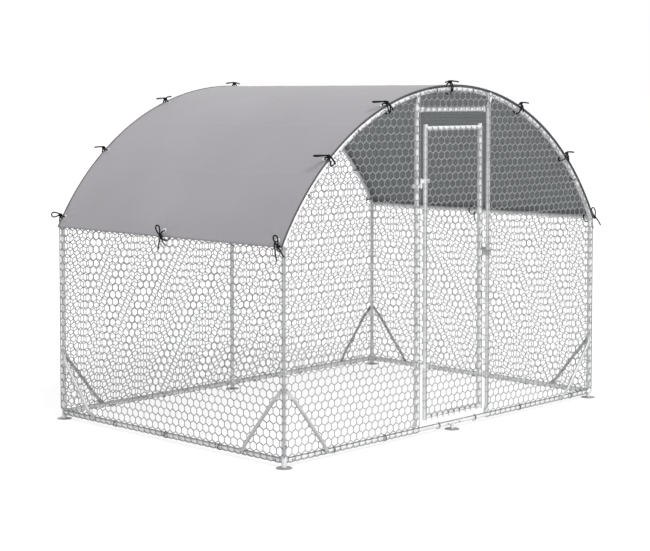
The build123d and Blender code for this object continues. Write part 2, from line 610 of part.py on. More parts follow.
def hem_tie(side, y, slide=0.0):
    """A tie round an eave purlin."""
    a = radians(EAVE)
    n = (side * sin(a), 0, cos(a))
    e = (side * cos(a), 0, -sin(a))
    t = (0, -1, 0)
    o = (side * HX, y, EAVE_Z)
    loop = (side * 10.0, 20.0, 58.0)
    wide = (side * 2.3, 13.2, -3.5)
    tail_a = (side * 9.0, 6.0, -74.0)
    tail_b = (side * 8.0, -46.0, -48.0)
    return (o, n, e, t, HEM_OVER, loop, wide, tail_a, tail_b, slide, 10.0)


TIES = [
    hem_tie(-1, -917.0, 34.0),
    arch_tie(-41.2, -1, -1, loop=(80.0, -28.0, 4.0)),
    arch_tie(-21.8, -1, -1, loop=(80.0, -28.0, 4.0)),
    arch_tie(-1.7, -1, 1, long_b=True),
    arch_tie(22.8, -1, 1),
    arch_tie(43.2, -1, 1),
    hem_tie(1, -917.0, 34.0),
    hem_tie(-1, -10.0),
    hem_tie(1, 24.0),
    arch_tie(-59.4, 1, -1, upright=True),
    arch_tie(-41.0, 1, -1),
    arch_tie(-20.4, 1, -1, long_b=True),
    arch_tie(1.3, 1, -1, long_b=True),
    arch_tie(21.5, 1, 1),
    arch_tie(41.5, 1, 1),
    arch_tie(59.4, 1, 1, upright=True),
]


def cord_tube(pts, d):
    """A plain tube along the route: straight runs joined by tangent arcs, each
    as large as its two runs allow."""
    v = [vec(p) for p in pts]
    radii = []
    for i in range(1, len(v) - 1):
        a, b = v[i] - v[i - 1], v[i + 1] - v[i]
        turn = radians(a.get_angle(b))
        radii.append(0.45 * min(a.length, b.length) / tan(turn / 2))
    path = FilletPolyline(*v, radius=radii)
    start = Plane(origin=v[0], z_dir=v[1] - v[0])
    return sweep(start * Circle(d / 2), path=path), path, min(radii)


eyelets, cords = [], []
for spec in TIES:
    o, n, e = (vec(v) for v in spec[:3])
    pts = tie_route(*spec)
    cord, path, tight = cord_tube(pts, CORD)
    cords.append(cord)
    area = pi * CORD**2 / 4
    print(
        f"tie {len(cords)}: length {path.length:.1f} mm, tightest arc {tight:.1f} mm, "
        f"volume ratio {cord.volume / (area * path.length):.4f}, solids {len(cord.solids())}"
    )
    # the eyelet sits where the route passes down through the cover
    mid = (COVER[0] + COVER[1]) / 2
    best = None
    for i in range(1001):
        p = path @ (i / 1000)
        if (p - o).dot(e) < -8 and (p - o).dot(n) > 0:
            off = abs(sqrt(p.X**2 + (p.Z - ARCH_ZC) ** 2) - mid)
            if best is None or off < best[0]:
                best = (off, p)
    c = best[1]
    base = Vector(0, c.Y, ARCH_ZC)
    nn = (c - base).normalized()
    cover -= rod(tuple(base + nn * (COVER[0] - 8)), tuple(base + nn * (COVER[1] + 8)), 20.0)
    pl = Plane(origin=base, z_dir=nn)
    ring = extrude(pl * Pos(0, 0, COVER[0] - 0.9) * (Circle(9.7) - Circle(8.4)), COVER[1] - COVER[0] + 1.8)
    ring += extrude(pl * Pos(0, 0, COVER[1] + 0.1) * (Circle(14.5) - Circle(8.4)), 0.8)
    ring += extrude(pl * Pos(0, 0, COVER[0] - 0.9) * (Circle(14.5) - Circle(8.4)), 0.8)
    eyelets.append(ring)
parts["cover"] = cover

# ---------------------------------------------------------------- netting clips
CLIP_R = 19.0
CLIP_T, CLIP_W = 2.0, 7.0


def clip(o, axis, open_dir, half_open=52.0):
    """A strip clip round a tube and its netting, open towards open_dir."""
    a, d = vec(axis).normalized(), vec(open_dir).normalized()
    s = a.cross(d)
    h = radians(half_open)
    start = vec(o) + (d * cos(h) + s * sin(h)) * CLIP_R
    radial = (d * cos(h) + s * sin(h)).normalized()
    tangent = a.cross(radial)
    pl = Plane(origin=start, x_dir=radial, z_dir=tangent)
    return revolve(pl * Rectangle(CLIP_T, CLIP_W), axis=Axis(vec(o), a), revolution_arc=360 - 2 * half_open)


clips = []
for sy in (-1, 1):
    for deg in (-50.0, -31.5, -6.0, 6.0, 31.5, 50.0):
        n = (sin(radians(deg)), 0, cos(radians(deg)))
        t = (cos(radians(deg)), 0, -sin(radians(deg)))
        clips.append(clip(arch_point(deg, ARCH_R, sy * HY), t, n))
    for x in (-1016.0, -600.0, -132.0, 200.0, 640.0, 1176.0):
        clips.append(clip((x, sy * HY, RAIL_Z), (1, 0, 0), (0, -sy, 0.8)))
for sx in (-1, 1):
    for yy in (-450.0, 0.0, 450.0):
        clips.append(clip((sx * HX, yy, RAIL_Z), (0, 1, 0), (-sx, 0, 0.8)))

# ---------------------------------------------------------------- drill the cross holes, then write every node
groups = {
    "eave_elbows": elbows,
    "ridge_tees": tees,
    "clamp_bolts": post_bolts,
    "frame_bolts": frame_bolts,
    "lap_screws": cs_bolts,
    "post_hinge_bands": post_bands,
    "door_hinge_bands": door_bands,
    "hinge_pins": pins,
    "door_band_bolts": door_bolts,
    "netting_clips": clips,
    "cover_eyelets": eyelets,
    "cover_ties": cords,
}
for name, shapes in groups.items():
    parts[name] = shapes
for name, tools in cut_for.items():
    shapes = parts[name] if isinstance(parts[name], list) else [parts[name]]
    out = []
    for s in shapes:
        for c in tools:
            if s.bounding_box().overlaps(c.bounding_box()):
                s = s - c
        out.append(s)
    parts[name] = out
for name, shapes in sorted(parts.items()):
    save(name, *(shapes if isinstance(shapes, list) else [shapes]))
print(len(written), "nodes")
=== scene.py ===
from math import asin, atan2, cos, degrees, exp, pi, radians, sin, sqrt, tan

import bmesh
import bpy
import numpy as np
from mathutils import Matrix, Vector


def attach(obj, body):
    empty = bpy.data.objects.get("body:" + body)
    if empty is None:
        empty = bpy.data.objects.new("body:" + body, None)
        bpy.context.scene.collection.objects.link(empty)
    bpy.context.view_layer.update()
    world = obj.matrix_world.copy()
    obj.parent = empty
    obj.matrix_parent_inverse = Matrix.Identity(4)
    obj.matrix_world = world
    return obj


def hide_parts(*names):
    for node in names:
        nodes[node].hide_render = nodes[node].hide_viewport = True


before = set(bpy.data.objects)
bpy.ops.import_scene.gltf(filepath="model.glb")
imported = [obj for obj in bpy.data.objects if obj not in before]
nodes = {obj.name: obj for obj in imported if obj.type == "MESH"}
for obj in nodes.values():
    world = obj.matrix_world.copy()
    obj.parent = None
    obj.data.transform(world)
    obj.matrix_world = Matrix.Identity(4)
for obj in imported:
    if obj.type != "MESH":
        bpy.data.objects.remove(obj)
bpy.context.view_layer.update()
scene = bpy.context.scene

# ------------------------------------------------------------------ dimensions, metres
HX, HY = 1.385, 0.945
R = 0.0125
RAIL_Z = 0.041
ARCH_R, ARCH_ZC = 1.580, 0.411
EAVE = degrees(asin(HX / ARCH_R))
EAVE_Z = ARCH_ZC + ARCH_R * cos(radians(EAVE))
ROOF_NET = 1.595
COVER_IN, COVER_OUT = 1.6015, 1.6030
COVER_END = 62.0
COVER_Y = (-0.9595, 0.957)
BINDING = 0.008
CORD = 0.008
DOOR_POST_X = 0.3265
HEADER_Z = 1.873
STILE_L, STILE_R = -0.249, 0.246
DOOR_B, DOOR_T = 0.111, 1.766
NET = 0.0172            # netting's middle from the tubes' centre plane

# ------------------------------------------------------------------ camera
YAW, PITCH = radians(46.15804), radians(2.94656)
cam_data = bpy.data.cameras.new("camera")
cam_data.sensor_width = 36.0
cam_data.lens = 89.58946
cam_data.shift_y = -0.15
cam_data.clip_end = 200.0
cam = bpy.data.objects.new("camera", cam_data)
scene.collection.objects.link(cam)
cam.location = (-7.29267, -6.91553, 1.95735)
look = Vector((sin(YAW) * cos(PITCH), cos(YAW) * cos(PITCH), -sin(PITCH)))
cam.rotation_mode = "QUATERNION"
cam.rotation_quaternion = look.to_track_quat("-Z", "Y")
scene.camera = cam


# ------------------------------------------------------------------ materials
def new_material(name):
    m = bpy.data.materials.new(name)
    m.use_nodes = True
    nt = m.node_tree
    bsdf = nt.nodes["Principled BSDF"]
    return m, nt, bsdf


def add(nt, kind, **props):
    n = nt.nodes.new(kind)
    for k, v in props.items():
        setattr(n, k, v)
    return n


def ramp(nt, fac, stops):
    r = add(nt, "ShaderNodeValToRGB")
    el = r.color_ramp.elements
    while len(el) < len(stops):
        el.new(0.5)
    for e, (p, c) in zip(el, stops):
        e.position = p
        e.color = (*c, 1.0) if len(c) == 3 else c
    nt.links.new(fac, r.inputs["Fac"])
    return r.outputs["Color"]


def span(nt, value, lo, hi):
    """A 0..1 value spread over lo..hi."""
    m = add(nt, "ShaderNodeMapRange")
    m.inputs["To Min"].default_value = lo
    m.inputs["To Max"].default_value = hi
    nt.links.new(value, m.inputs["Value"])
    return m.outputs["Result"]


def noise(nt, coord, scale, detail=4.0, rough=0.55):
    n = add(nt, "ShaderNodeTexNoise")
    n.inputs["Scale"].default_value = scale
    n.inputs["Detail"].default_value = detail
    n.inputs["Roughness"].default_value = rough
    nt.links.new(coord, n.inputs["Vector"])
    return n.outputs["Fac"]


def bump(nt, height, strength, distance, normal=None):
    b = add(nt, "ShaderNodeBump")
    b.inputs["Strength"].default_value = strength
    b.inputs["Distance"].default_value = distance
    nt.links.new(height, b.inputs["Height"])
    if normal is not None:
        nt.links.new(normal, b.inputs["Normal"])
    return b.outputs["Normal"]


def mix_color(nt, fac, a, b, blend="MIX"):
    m = add(nt, "ShaderNodeMix", data_type="RGBA", blend_type=blend)
    if isinstance(fac, float):
        m.inputs["Factor"].default_value = fac
    else:
        nt.links.new(fac, m.inputs["Factor"])
    for sock, v in (("A", a), ("B", b)):
        s = [i for i in m.inputs if i.name == sock and i.type == "RGBA"][0]
        if isinstance(v, tuple):
            s.default_value = (*v, 1.0)
        else:
            nt.links.new(v, s)
    return [o for o in m.outputs if o.type == "RGBA"][0]


def galvanised(name, dark, mid, light, metal, rough, spangle=70.0, near_ground_dark=0.0):
    """Zinc-coated steel: soft crystal spangle, a little cloudiness, fine pits."""
    m, nt, b = new_material(name)
    co = add(nt, "ShaderNodeTexCoord").outputs["Object"]
    cells = add(nt, "ShaderNodeTexVoronoi")
    cells.inputs["Scale"].default_value = spangle
    nt.links.new(co, cells.inputs["Vector"])
    grey = add(nt, "ShaderNodeRGBToBW")
    nt.links.new(cells.outputs["Color"], grey.inputs["Color"])
    cloud = noise(nt, co, 9.0, 5.0)
    base = ramp(nt, cloud, [(0.30, dark), (0.52, mid), (0.74, light)])
    spark = ramp(nt, grey.outputs["Val"], [(0.0, (0.82, 0.82, 0.83)), (1.0, (1.0, 1.0, 1.0))])
    col = mix_color(nt, 0.55, base, spark, "MULTIPLY")
    if near_ground_dark:
        # darker towards the ground: below 9 mm the colour fades to a dark grey
        sep = add(nt, "ShaderNodeSeparateXYZ")
        nt.links.new(co, sep.inputs["Vector"])
        low = add(nt, "ShaderNodeMapRange", interpolation_type="SMOOTHSTEP")
        low.inputs["From Min"].default_value = 0.009
        low.inputs["From Max"].default_value = 0.002
        low.inputs["To Min"].default_value = 0.0
        low.inputs["To Max"].default_value = near_ground_dark
        nt.links.new(sep.outputs["Z"], low.inputs["Value"])
        col = mix_color(nt, low.outputs["Result"], col, (0.13, 0.128, 0.124))
    nt.links.new(col, b.inputs["Base Color"])
    b.inputs["Metallic"].default_value = metal
    nt.links.new(span(nt, noise(nt, co, 38.0, 3.0), rough - 0.08, rough + 0.10), b.inputs["Roughness"])
    nt.links.new(bump(nt, noise(nt, co, 420.0, 2.0), 0.10, 0.0006), b.inputs["Normal"])
    return m


# the last value darkens the tubes and plates within 9 mm of the ground
TUBE_MAT = galvanised("galvanised_tube", (0.54, 0.545, 0.55), (0.617, 0.622, 0.627), (0.69, 0.695, 0.70), 0.25, 0.42, 70.0, 0.85)
BRACE_MAT = galvanised("galvanised_brace", (0.34, 0.343, 0.347), (0.40, 0.403, 0.407), (0.46, 0.463, 0.467), 0.25, 0.45, 90.0)
FIT_MAT = galvanised("zinc_fittings", (0.62, 0.625, 0.63), (0.69, 0.695, 0.70), (0.75, 0.755, 0.76), 0.30, 0.40, 160.0)
LATCH_MAT = galvanised("latch_metal", (0.28, 0.282, 0.286), (0.36, 0.362, 0.366), (0.44, 0.442, 0.446), 0.4, 0.40, 220.0)
BOLT_MAT = galvanised("zinc_hardware", (0.14, 0.142, 0.145), (0.19, 0.192, 0.195), (0.25, 0.252, 0.255), 0.5, 0.38, 300.0)
BAND_BOLT_MAT = galvanised("zinc_band_bolts", (0.46, 0.462, 0.465), (0.54, 0.542, 0.545), (0.62, 0.622, 0.625), 0.35, 0.38, 300.0)
CLIP_MAT = galvanised("clip_metal", (0.07, 0.071, 0.072), (0.10, 0.101, 0.103), (0.14, 0.141, 0.143), 0.4, 0.42, 300.0)
EYE_MAT = galvanised("eyelet_metal", (0.60, 0.60, 0.61), (0.72, 0.72, 0.73), (0.82, 0.82, 0.82), 0.5, 0.30, 400.0)
WIRE_MAT = galvanised("wire_netting", (0.152, 0.153, 0.155), (0.187, 0.188, 0.190), (0.225, 0.226, 0.228), 0.25, 0.48, 120.0)
# painted light: the same netting wire as the other walls, given a paler tone on the front gable and door where the key
# light falls on it
LIT_GABLE_WIRE_MAT = galvanised("wire_netting_gable_painted_light", (0.205, 0.206, 0.208), (0.245, 0.246, 0.248), (0.290, 0.291, 0.293), 0.25, 0.48, 120.0)


def cover_material(name, tones):
    """Coated woven fabric: a fine plain weave, soft clouding and a dull sheen."""
    m, nt, b = new_material(name)
    tc = add(nt, "ShaderNodeTexCoord")
    uv = tc.outputs["UV"]                    # metres along and across the cloth
    big = noise(nt, uv, 1.6, 4.0, 0.5)
    fine = noise(nt, uv, 60.0, 3.0, 0.6)
    base = ramp(nt, big, list(zip((0.25, 0.55, 0.80), tones)))
    speck = ramp(nt, fine, [(0.30, (0.93, 0.93, 0.93)), (0.70, (1.0, 1.0, 1.0))])
    col = mix_color(nt, 0.8, base, speck, "MULTIPLY")
    weave = None
    for axis in ("X", "Y"):
        w = add(nt, "ShaderNodeTexWave", wave_type="BANDS", bands_direction=axis, wave_profile="SIN")
        w.inputs["Scale"].default_value = 0.5 * 2 * pi / 0.0011 / 20.0 * 1.0
        w.inputs["Distortion"].default_value = 0.0
        nt.links.new(uv, w.inputs["Vector"])
        weave = w.outputs["Fac"] if weave is None else _times(nt, weave, w.outputs["Fac"])
    thread = ramp(nt, weave, [(0.0, (0.90, 0.90, 0.90)), (0.6, (1.0, 1.0, 1.0))])
    col = mix_color(nt, 0.5, col, thread, "MULTIPLY")
    nt.links.new(col, b.inputs["Base Color"])
    nt.links.new(span(nt, big, 0.58, 0.72), b.inputs["Roughness"])
    b.inputs["Sheen Weight"].default_value = 0.12
    b.inputs["Specular IOR Level"].default_value = 0.35
    n1 = bump(nt, weave, 0.25, 0.0003)
    nt.links.new(bump(nt, noise(nt, uv, 22.0, 4.0, 0.6), 0.10, 0.003, n1), b.inputs["Normal"])
    return m


def _times(nt, a, c):
    m = add(nt, "ShaderNodeMath", operation="MULTIPLY")
    nt.links.new(a, m.inputs[0])
    nt.links.new(c, m.inputs[1])
    return m.outputs[0]


COVER_MAT = cover_material("cover_fabric", ((0.206, 0.200, 0.212), (0.222, 0.215, 0.229), (0.239, 0.232, 0.247)))
LINING_MAT = cover_material("cover_lining", ((0.185, 0.202, 0.210), (0.198, 0.216, 0.224), (0.213, 0.232, 0.241)))


def binding_material():
    """Dark woven strip folded over the cover's edge."""
    m, nt, b = new_material("cover_binding")
    co = add(nt, "ShaderNodeTexCoord").outputs["Object"]
    w = add(nt, "ShaderNodeTexWave", wave_type="BANDS", bands_direction="DIAGONAL", wave_profile="SIN")
    w.inputs["Scale"].default_value = 220.0
    w.inputs["Distortion"].default_value = 0.8
    nt.links.new(co, w.inputs["Vector"])
    col = ramp(nt, w.outputs["Fac"], [(0.1, (0.034, 0.035, 0.036)), (0.9, (0.060, 0.061, 0.063))])
    nt.links.new(col, b.inputs["Base Color"])
    nt.links.new(span(nt, noise(nt, co, 200.0), 0.7, 0.9), b.inputs["Roughness"])
    nt.links.new(bump(nt, w.outputs["Fac"], 0.4, 0.0005), b.inputs["Normal"])
    return m


BINDING_MAT = binding_material()


def cord_material():
    """Black woven cord: diagonal strands with paler worn fibres."""
    m, nt, b = new_material("tie_cord")
    co = add(nt, "ShaderNodeTexCoord").outputs["Object"]
    w = add(nt, "ShaderNodeTexWave", wave_type="BANDS", bands_direction="DIAGONAL", wave_profile="SIN")
    w.inputs["Scale"].default_value = 160.0
    w.inputs["Distortion"].default_value = 1.5
    nt.links.new(co, w.inputs["Vector"])
    col = ramp(nt, w.outputs["Fac"], [(0.1, (0.003, 0.003, 0.0033)), (0.9, (0.010, 0.010, 0.0105))])
    nt.links.new(col, b.inputs["Base Color"])
    nt.links.new(span(nt, noise(nt, co, 300.0), 0.65, 0.85), b.inputs["Roughness"])
    b.inputs["Specular IOR Level"].default_value = 0.08
    nt.links.new(bump(nt, w.outputs["Fac"], 0.5, 0.0006), b.inputs["Normal"])
    return m


CORD_MAT = cord_material()

for name, obj in nodes.items():
    if name == "netting_clips":
        mat = CLIP_MAT
    elif name in ("clamp_bolts", "door_band_bolts", "hinge_pins"):
        mat = BAND_BOLT_MAT
    elif name in ("frame_bolts", "lap_screws"):
        mat = BOLT_MAT
    elif name in ("post_hinge_bands", "door_hinge_bands"):
        mat = FIT_MAT
    elif name in ("latch_clamp", "latch_fork"):
        mat = LATCH_MAT
    elif name.startswith("corner_braces"):
        mat = BRACE_MAT
    elif name == "cover_eyelets":
        mat = EYE_MAT
    elif name == "cover_edge_binding":
        mat = BINDING_MAT
    elif name == "cover_ties":
        mat = CORD_MAT
    elif name == "cover":
        mat = COVER_MAT
    elif "netting" in name:
        mat = WIRE_MAT
    else:
        mat = TUBE_MAT
    obj.data.materials.clear()
    obj.data.materials.append(mat)


# ------------------------------------------------------------------ mesh tools
def mesh_object(name, verts, faces, mat, smooth=True):
    me = bpy.data.meshes.new(name)
    me.from_pydata([tuple(v) for v in verts], [], [tuple(f) for f in faces])
    me.materials.append(mat)
    if smooth:
        me.polygons.foreach_set("use_smooth", [True] * len(me.polygons))
    me.update()
    ob = bpy.data.objects.new(name, me)
    scene.collection.objects.link(ob)
    return ob


def quad_object(name, verts, quads, mat):
    """A large quad mesh from arrays, smooth shaded."""
    me = bpy.data.meshes.new(name)
    nv, nf = len(verts), len(quads)
    me.vertices.add(nv)
    me.vertices.foreach_set("co", np.asarray(verts, np.float32).ravel())
    me.loops.add(nf * 4)
    me.loops.foreach_set("vertex_index", np.asarray(quads, np.int32).ravel())
    me.polygons.add(nf)
    me.polygons.foreach_set("loop_start", np.arange(nf, dtype=np.int32) * 4)
    me.polygons.foreach_set("use_smooth", np.ones(nf, bool))
    me.materials.append(mat)
    me.update(calc_edges=True)
    me.validate()
    ob = bpy.data.objects.new(name, me)
    scene.collection.objects.link(ob)
    return ob


# ------------------------------------------------------------------ wire netting
WIRE_R = 0.0026         # corner radius of a wire's square section, as wide as a round wire of 4 mm
SIDES = 4


class Net:
    """Collects wires as tubes in one mesh."""

    def __init__(self):
        self.v, self.q, self.n = [], [], 0

    def wire(self, pts, radius, up):
        """A closed-ended tube along pts (k, 3); up is a direction across them."""
        k = len(pts)
        if k < 2:
            return
        radius = np.broadcast_to(np.asarray(radius, float), (k,))[:, None, None]
        tan_ = np.gradient(pts, axis=0)
        tan_ /= np.linalg.norm(tan_, axis=1)[:, None] + 1e-12
        a = np.cross(tan_, up)
        a /= np.linalg.norm(a, axis=1)[:, None] + 1e-12
        c = np.cross(a, tan_)
        ang = np.arange(SIDES) * 2 * pi / SIDES + pi / 4
        ring = pts[:, None, :] + radius * (np.cos(ang)[None, :, None] * a[:, None, :] + np.sin(ang)[None, :, None] * c[:, None, :])
        self.v.append(ring.reshape(-1, 3))
        i = np.arange(k - 1)[:, None] * SIDES
        j = np.arange(SIDES)[None, :]
        jn = (j + 1) % SIDES
        q = np.stack([i + j, i + jn, i + SIDES + jn, i + SIDES + j], axis=-1).reshape(-1, 4) + self.n
        caps = np.array([[3, 2, 1, 0], [(k - 1) * SIDES, (k - 1) * SIDES + 1, (k - 1) * SIDES + 2, (k - 1) * SIDES + 3]]) + self.n
        self.q += [q, caps]
        self.n += k * SIDES

    def ring(self, centre, axis, radius, wire):
        """A loop of wire round a tube."""
        axis = np.asarray(axis, float) / np.linalg.norm(axis)
        a = np.cross(axis, (0.31, 0.59, 0.74))
        a /= np.linalg.norm(a)
        b = np.cross(axis, a)
        t = np.linspace(0.0, 2 * pi, 13)
        self.wire(np.asarray(centre) + radius * (np.cos(t)[:, None] * a + np.sin(t)[:, None] * b), wire, axis)

    def lace(self, p, q, pitch):
        """Loops of wire that hold a sheet on a straight tube from p to q."""
        p, q = np.asarray(p, float), np.asarray(q, float)
        n = max(1, int(round(np.linalg.norm(q - p) / pitch)))
        for i in range(n):
            self.ring(p + (q - p) * (i + 0.5) / n, q - p, LACE_R, LACE_WIRE)

    def make(self, name, *replaced, body="frame", mat=WIRE_MAT):
        ob = quad_object(name, np.concatenate(self.v), np.concatenate(self.q), mat)
        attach(ob, body)
        if replaced:
            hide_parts(*replaced)
        return ob


CELL, ROW = 0.050, 0.0418
HALF = 0.014            # half the length of a twist
TWIST = 0.0004          # half the distance between two wires drawn tight in a twist
TIGHT = 0.66            # a wire's width in a twist, of its width in the open
LACE_R, LACE_WIRE = R + 0.0011, 0.0011


def strands(u0, u1, v0, v1, seed, turn=(0.0, 1 / 3, 2 / 3, 1.0), open_points=True):
    """Flat netting between u0..u1 and v0..v1: one polyline (u, v, w, width) per
    wire.  Each wire runs up the sheet and is twisted with its two neighbours in turn."""
    rng = np.random.default_rng(seed)
    n = max(1, round((u1 - u0) / (CELL / 2)))
    rows = int((v1 - v0) / ROW) + 2
    step = (u1 - u0) / n
    # the same small unevenness for the two wires of a twist
    jit = rng.normal(0.0, 0.0006, (rows + 1, n + 1, 2))
    jit[:, 0, 0] = jit[:, n, 0] = 0.0
    turn = np.array(turn)
    width = np.where((turn > 0.01) & (turn < 0.99), TIGHT, 0.5 + 0.5 * TIGHT)
    # midway between two twists a wire is at its full width
    out = []
    for s in range(n):
        pts = []
        for j in range(rows + 1):
            col = s + ((s + j) % 2)
            side = 1.0 if col == s else -1.0      # this wire's side of the twist
            c_u = u0 + step * col + jit[j, col, 0]
            c_v = v0 + ROW * j + jit[j, col, 1]
            ph = turn * 2 * pi
            if pts and open_points:
                last = pts[-1][-1]
                first = np.array([c_u + side * TWIST, c_v - HALF, 0.0, 1.0])
                pts.append((last + (first - last) * np.array([[0.2], [0.8]]))[:, :4])
                pts[-1][:, 3] = 1.0
            pts.append(np.stack([c_u + side * TWIST * np.cos(ph), c_v + HALF * (2 * turn - 1), side * TWIST * np.sin(ph), width], axis=1))
        out.append(np.concatenate(pts))
    return out


def cut(p, inside):
    """The stretch of a polyline from its first inside point to where it leaves."""
    ok = np.array([inside(*q) for q in p])
    if not ok.any():
        return p[:0]
    a = int(np.argmax(ok))
    rest = np.where(~ok[a:])[0]
    b = a + int(rest[0]) if len(rest) else len(p)
    q = [p[i] for i in range(a, b)]

    def meet(good, bad):
        for _ in range(22):
            m = (good + bad) / 2
            if inside(*m):
                good = m
            else:
                bad = m
        return good

    if a > 0:
        q.insert(0, meet(p[a], p[a - 1]))
    if b < len(p):
        q.append(meet(p[b - 1], p[b]))
    return np.array(q)


def border(u, v0, v1):
    v = np.linspace(v0, v1, max(2, int((v1 - v0) / 0.06)))
    return np.stack([np.full_like(v, u), v, np.zeros_like(v), np.full_like(v, 0.7)], axis=1)


def turned(zr, way, rad, s):
    """Where a sheet goes once it is turned round a rail: the distance out of the
    wall's plane and the height, at s past the rail's centre."""
    a = s / NET
    tight = R + WIRE_R + 0.0008
    r = tight + (NET - tight) * np.exp(-2.2 * a) + (rad - NET) * 0.6
    return r * np.cos(a), zr + way * r * np.sin(a)


def gable_map(gable, wraps):
    """Flat (x, z, w) to the gable's plane.  gable is -1 at the front; wraps are
    (z of a rail, -1 below or +1 above) round which the sheet is turned."""
    def f(p):
        x, z, w = p[:, 0], p[:, 1].copy(), p[:, 2]
        rad = NET + w
        y = gable * (HY + rad)
        for zr, way in wraps:
            s = way * (p[:, 1] - zr)
            m = s > 0
            out, z[m] = turned(zr, way, rad[m], s[m])
            y[m] = gable * (HY + out)
        return np.stack([x, y, z], axis=1)
    return f


def side_map(side, wraps):
    def f(p):
        yy, z, w = p[:, 0], p[:, 1].copy(), p[:, 2]
        rad = NET + w
        x = side * (HX + rad)
        for zr, way in wraps:
            s = way * (p[:, 1] - zr)
            m = s > 0
            out, z[m] = turned(zr, way, rad[m], s[m])
            x[m] = side * (HX + out)
        return np.stack([x, yy, z], axis=1)
    return f


def sheet_net(flat, place, up, inside=None, edges=()):
    net = Net()
    for p in flat:
        q = cut(p, inside) if inside else p
        if len(q) > 3:
            net.wire(place(q), WIRE_R * q[:, 3], up)
    for p in edges:
        net.wire(place(p), WIRE_R * p[:, 3], up)
    return net


ARCH_TOP = ARCH_R + 0.007
WRAP = 0.036            # how far the sheet goes on round a rail
SELVEDGE = 0.0022       # stiff wire along the sheet's lower edge, on the rail
SEL_OUT, SEL_UP = 0.0100, R + 0.0022


def arch_lace(net, y, a0, a1, pitch):
    n = max(1, int(round(radians(a1 - a0) * ARCH_R / pitch)))
    for i in range(n):
        a = radians(a0 + (a1 - a0) * (i + 0.5) / n)
        net.ring((ARCH_R * sin(a), y, ARCH_ZC + ARCH_R * cos(a)), (cos(a), 0.0, -sin(a)), LACE_R, LACE_WIRE)


def selvedge(net, p, q, up):
    t = np.linspace(0.0, 1.0, 12)[:, None]
    net.wire(np.asarray(p) * (1 - t) + np.asarray(q) * t, SELVEDGE, up)


def under_arch(u, v, w=0.0, width=1.0):
    return u * u + (v - ARCH_ZC) ** 2 < ARCH_TOP**2 or v < ARCH_ZC


def arch_z(x):
    return ARCH_ZC + sqrt(ARCH_TOP**2 - x * x)


Y_UP = np.array([0.0, 1.0, 0.0])
X_UP = np.array([1.0, 0.0, 0.0])
NX = HX + 0.010
z_low = RAIL_Z - WRAP
z_sel = RAIL_Z + SEL_UP
POST_TOP = EAVE_Z - 0.02
front = gable_map(-1, [(RAIL_Z, -1)])
for name, sx, seed in (("left", -1, 1), ("right", 1, 2)):
    x0, x1 = sorted((sx * NX, sx * (DOOR_POST_X - 0.010)))
    e = [border(x, z_low, arch_z(x)) for x in (x0, x1)]
    net = sheet_net(strands(x0, x1, z_low, 2.0, seed), front, Y_UP, under_arch, e)
    selvedge(net, (sx * (HX - 0.016), -HY - SEL_OUT, z_sel), (0.0, -HY - SEL_OUT, z_sel), Y_UP)
    net.lace((sx * HX, -HY, 0.20), (sx * HX, -HY, POST_TOP), 2 * ROW)
    net.lace((sx * DOOR_POST_X, -HY, 0.16), (sx * DOOR_POST_X, -HY, HEADER_Z - 0.03), ROW)
    arch_lace(net, -HY, *sorted((sx * 2.2, sx * 59.0)), 0.10)
    net.make(f"wire_front_{name}", f"netting_front_{name}", mat=LIT_GABLE_WIRE_MAT)
x0, x1 = -DOOR_POST_X + 0.012, DOOR_POST_X - 0.012
net = sheet_net(
    strands(x0, x1, HEADER_Z - 0.006, 2.0, 3), gable_map(-1, []), Y_UP, under_arch,
    [border(x, HEADER_Z - 0.006, arch_z(x)) for x in (x0, x1)],
)
net.lace((x0 + 0.02, -HY, HEADER_Z), (x1 - 0.02, -HY, HEADER_Z), CELL)
net.make("wire_front_top", "netting_front_top", mat=LIT_GABLE_WIRE_MAT)
net = sheet_net(
    strands(-NX, NX, z_low, 2.0, 4, (0.0, 0.5, 1.0)), gable_map(1, [(RAIL_Z, -1)]), Y_UP, under_arch,
    [border(x, z_low, arch_z(x)) for x in (-NX, NX)],
)
for sx in (-1, 1):
    selvedge(net, (sx * (HX - 0.016), HY + 0.004, z_sel), (sx * 0.016, HY + 0.004, z_sel), Y_UP)
    net.lace((sx * HX, HY, 0.20), (sx * HX, HY, POST_TOP), 2 * ROW)
    arch_lace(net, HY, *sorted((sx * 2.2, sx * 59.0)), 0.10)
net.lace((0.0, HY, 0.16), (0.0, HY, 1.85), 2 * ROW)
net.make("wire_rear", "netting_rear")
for name, sx, seed in (("left", -1, 5), ("right", 1, 6)):
    net = sheet_net(
        strands(-HY - 0.010, HY + 0.010, z_low, EAVE_Z - 0.02, seed), side_map(sx, [(RAIL_Z, -1)]), X_UP,
        lambda u, v, w, width: v < EAVE_Z - 0.006, [border(u, z_low, EAVE_Z - 0.006) for u in (-HY - 0.010, HY + 0.010)],
    )
    out = SEL_OUT if sx < 0 else 0.004
    selvedge(net, (sx * (HX + out), -HY + 0.016, z_sel), (sx * (HX + out), HY - 0.016, z_sel), X_UP)
    net.lace((sx * HX, -0.88, EAVE_Z), (sx * HX, 0.88, EAVE_Z), 0.10)
    net.make(f"wire_side_{name}", f"netting_side_{name}")
# the door's own sheet is tied to its stiles and rails
DOOR_L, DOOR_R = STILE_L - 0.006, STILE_R + 0.006
net = sheet_net(
    strands(DOOR_L, DOOR_R, DOOR_B - 0.006, DOOR_T, 7), gable_map(-1, []), Y_UP,
    lambda u, v, w, width: v < DOOR_T + 0.006, [border(u, DOOR_B - 0.006, DOOR_T + 0.006) for u in (DOOR_L, DOOR_R)],
)
for x in (STILE_L, STILE_R):
    net.lace((x, -HY, DOOR_B + 0.03), (x, -HY, DOOR_T - 0.03), ROW)
for z in (DOOR_B, DOOR_T):
    net.lace((STILE_L + 0.02, -HY, z), (STILE_R - 0.02, -HY, z), CELL)
net.make("wire_door", "door_netting", body="door", mat=LIT_GABLE_WIRE_MAT)


